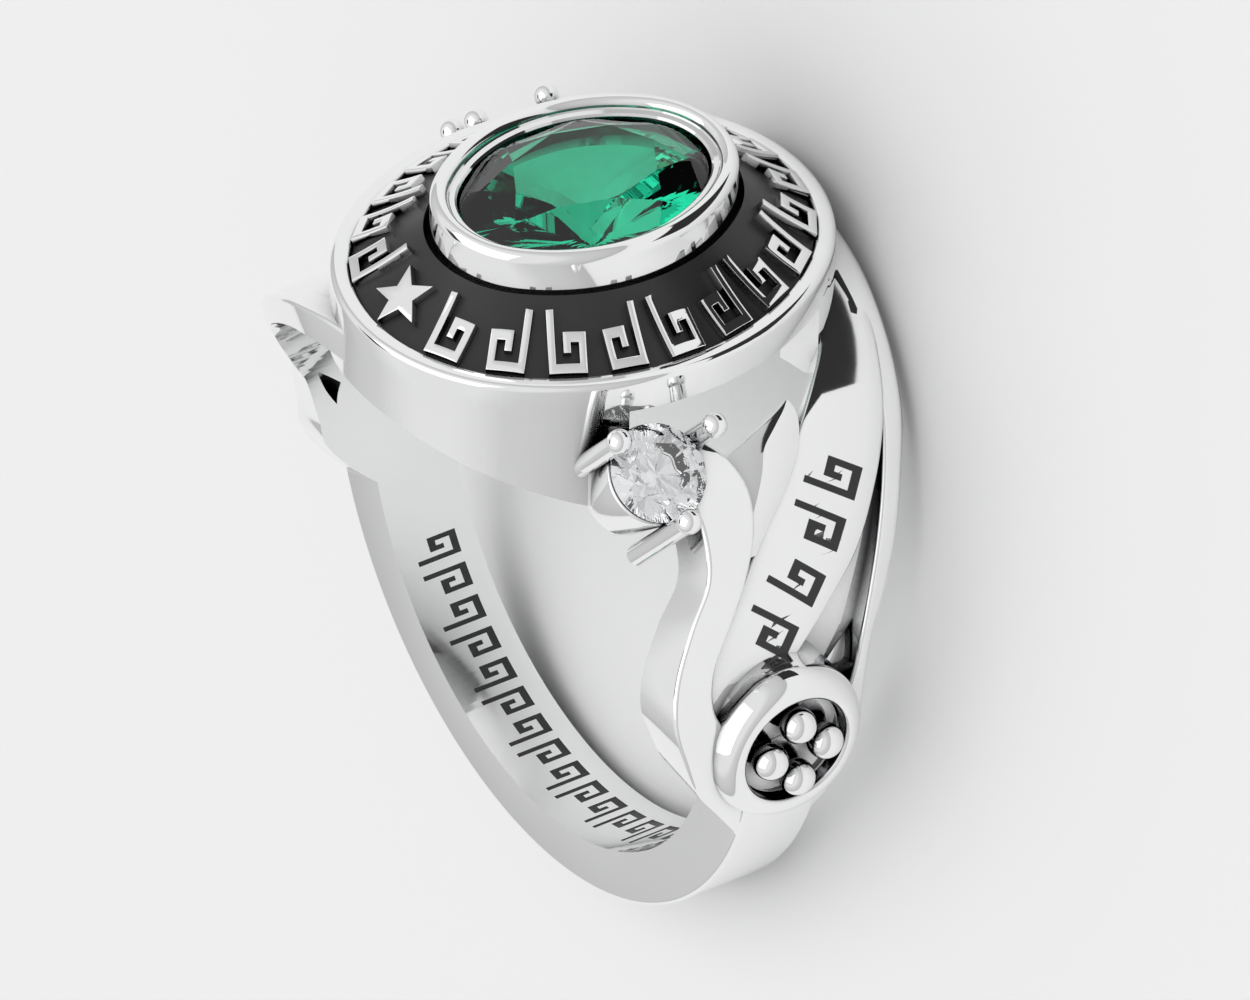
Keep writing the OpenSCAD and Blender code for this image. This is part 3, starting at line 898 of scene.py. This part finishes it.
def enamel_material():
    m = Nodes("black_enamel")
    m.link(m.blend(m.noise(500, 4.0), (0.012, 0.012, 0.013), (0.03, 0.03, 0.032)),
           m.shader.inputs["Base Color"])
    m.link(m.spread(m.noise(900, 4.0), 0.28, 0.42), m.shader.inputs["Roughness"])
    m.bump(m.noise(3200, 3.0), 0.15, FINE_BUMP)
    return m.material


def gem_material(name, deep, bright, ior, cloud_scale):
    m = Nodes(name)
    m.shader.inputs["Transmission Weight"].default_value = 1.0
    m.shader.inputs["IOR"].default_value = ior
    m.shader.inputs["Roughness"].default_value = 0.0
    m.link(m.blend(m.noise(cloud_scale, 3.0), deep, bright), m.shader.inputs["Base Color"])
    return m.material


def floor_material():
    m = Nodes("studio_floor")
    m.link(m.blend(m.noise(3, 2.0), (0.9, 0.9, 0.9), (0.93, 0.93, 0.93)),
           m.shader.inputs["Base Color"])
    m.shader.inputs["Roughness"].default_value = 0.9
    return m.material


# Camera, floor and light

FOCAL_PIXELS = 24845
PHOTO_WIDTH = 1250
FLOOR_HALF = 4


def add_camera():
    """The camera of the photograph, found from the ring's round hole and its head."""
    unit = HOLE_R
    azimuth, elevation, roll = math.radians(56.24), math.radians(38.16), math.radians(1.23)
    side, rise, distance = -0.1528, -0.1336, 79.47
    back = Vector((math.sin(azimuth) * math.cos(elevation),
                   -math.cos(azimuth) * math.cos(elevation), math.sin(elevation)))
    right = Vector((math.cos(azimuth), math.sin(azimuth), 0))
    up = back.cross(right)
    turned_right = right * math.cos(roll) + up * math.sin(roll)
    turned_up = up * math.cos(roll) - right * math.sin(roll)
    eye = (back * distance - turned_right * side - turned_up * rise) * unit
    axes = Matrix((turned_right, turned_up, back)).transposed()
    data = bpy.data.cameras.new("camera")
    data.lens = FOCAL_PIXELS / PHOTO_WIDTH * data.sensor_width
    camera = bpy.data.objects.new("camera", data)
    pose = LAY @ (Matrix.Translation(eye) @ axes.to_4x4())
    camera.matrix_world = Matrix.Translation(pose.translation * MM) @ pose.to_3x3().to_4x4()
    bpy.context.scene.collection.objects.link(camera)
    bpy.context.scene.camera = camera
    return camera


def add_floor(material):
    half = FLOOR_HALF
    points = [(-half, -half, 0), (half, -half, 0), (half, half, 0), (-half, half, 0)]
    floor = new_object("floor", points, [(0, 1, 2, 3)])
    floor.data.materials.append(material)


def add_card(name, place_at, aim, size, level):
    """A grey card that only the polished silver and the stones see."""
    half_w, half_h = size[0] / 2, size[1] / 2
    corners = [(-half_w, -half_h, 0), (half_w, -half_h, 0), (half_w, half_h, 0),
               (-half_w, half_h, 0)]
    card = new_object(name, corners, [(0, 1, 2, 3)])
    m = Nodes(name)
    m.link(m.blend(m.noise(8, 2.0), (level * 0.8,) * 3, (level * 1.2,) * 3),
           m.shader.inputs["Emission Color"])
    m.shader.inputs["Emission Strength"].default_value = 1.0
    m.shader.inputs["Base Color"].default_value = (0, 0, 0, 1)
    m.shader.inputs["Specular IOR Level"].default_value = 0.0
    card.data.materials.append(m.material)
    turn = (Vector(aim) - Vector(place_at)).to_track_quat("Z", "Y").to_matrix().to_4x4()
    card.matrix_world = Matrix.Translation(place_at) @ turn
    card.visible_camera = False
    card.visible_diffuse = False
    card.visible_shadow = False


def add_area(name, place_at, aim, size, power):
    data = bpy.data.lights.new(name, "AREA")
    data.shape = "RECTANGLE"
    data.size, data.size_y = size
    data.energy = power
    light = bpy.data.objects.new(name, data)
    light.location = place_at
    light.rotation_euler = (Vector(aim) - Vector(place_at)).to_track_quat("-Z", "Y").to_euler()
    bpy.context.scene.collection.objects.link(light)


def add_world():
    """A bright room: white overhead, a grey band near the horizon."""
    world = bpy.data.worlds.new("studio")
    bpy.context.scene.world = world
    world.use_nodes = True
    tree = world.node_tree
    where = tree.nodes.new("ShaderNodeTexCoord")
    split = tree.nodes.new("ShaderNodeSeparateXYZ")
    ramp = tree.nodes.new("ShaderNodeValToRGB")
    tree.links.new(where.outputs["Generated"], split.inputs["Vector"])
    tree.links.new(split.outputs["Z"], ramp.inputs["Fac"])
    tree.links.new(ramp.outputs["Color"], tree.nodes["Background"].inputs["Color"])
    stops = ((0.0, 0.62), (0.2, 0.74), (0.38, 0.8), (0.55, 1.0))
    while len(ramp.color_ramp.elements) < len(stops):
        ramp.color_ramp.elements.new(0.5)
    for element, (at, level) in zip(ramp.color_ramp.elements, stops):
        element.position = at
        element.color = (level, level, level, 1)
    tree.nodes["Background"].inputs["Strength"].default_value = 0.8


add_camera()
silver = metal("silver", 0.94, (0.97, 0.972, 0.975), 0.03, 0.07, 0.02)
satin = metal("satin_silver", 0.88, (0.93, 0.932, 0.935), 0.14, 0.24, 0.06)
enamel_finish = enamel_material()
emerald = gem_material("emerald", (0.0, 0.5, 0.25), (0.04, 0.78, 0.44), 1.58, 700)
diamond = gem_material("diamond", (0.93, 0.95, 0.98), (1.0, 1.0, 1.0), 2.3, 900)

body = build_body()
place(body, "ring", "silver", ["ring_body"], [silver, satin], sharp=28)
place(build_enamel(), "enamel", "black_enamel", ["enamel_band"], [enamel_finish], sharp=30)
place(build_inlays(), "motif_inlays", "black_enamel", [], [enamel_finish], sharp=30)

centre = brilliant("centre", HALF_W, HALF_L, CROWN_H, PAVILION_H, GIRDLE_T)
centre.data.transform(Matrix.Translation((0, 0, GIRDLE_Z)))
place(centre, "centre_gem", "green_stone", ["centre_stone"], [emerald])
accent = brilliant("accent", ACCENT_R, ACCENT_R, ACCENT_CROWN, ACCENT_PAVILION, GIRDLE_T / 2)
accent.data.transform(AT_ACCENT)
twin = copy_of(accent, HALF_TURN)
place(accent, "accent_gem_front", "clear_stone", ["accent_stone_front"], [diamond])
place(twin, "accent_gem_back", "clear_stone", ["accent_stone_back"], [diamond])

add_floor(floor_material())
add_world()
add_area("overhead", place_at=(0, 0, 0.9), aim=(0, 0, 0), size=(1.2, 1.2), power=2.4)
add_card("card_head", place_at=(-0.005, -0.0165, 0.003), aim=(0, 0, 0.003),
         size=(0.011, 0.006), level=0.03)
add_card("card_over", place_at=(0.06, 0.03, 0.1), aim=(0, 0, 0.005),
         size=(0.05, 0.03), level=0.05)
bpy.context.scene.view_settings.view_transform = "Standard"
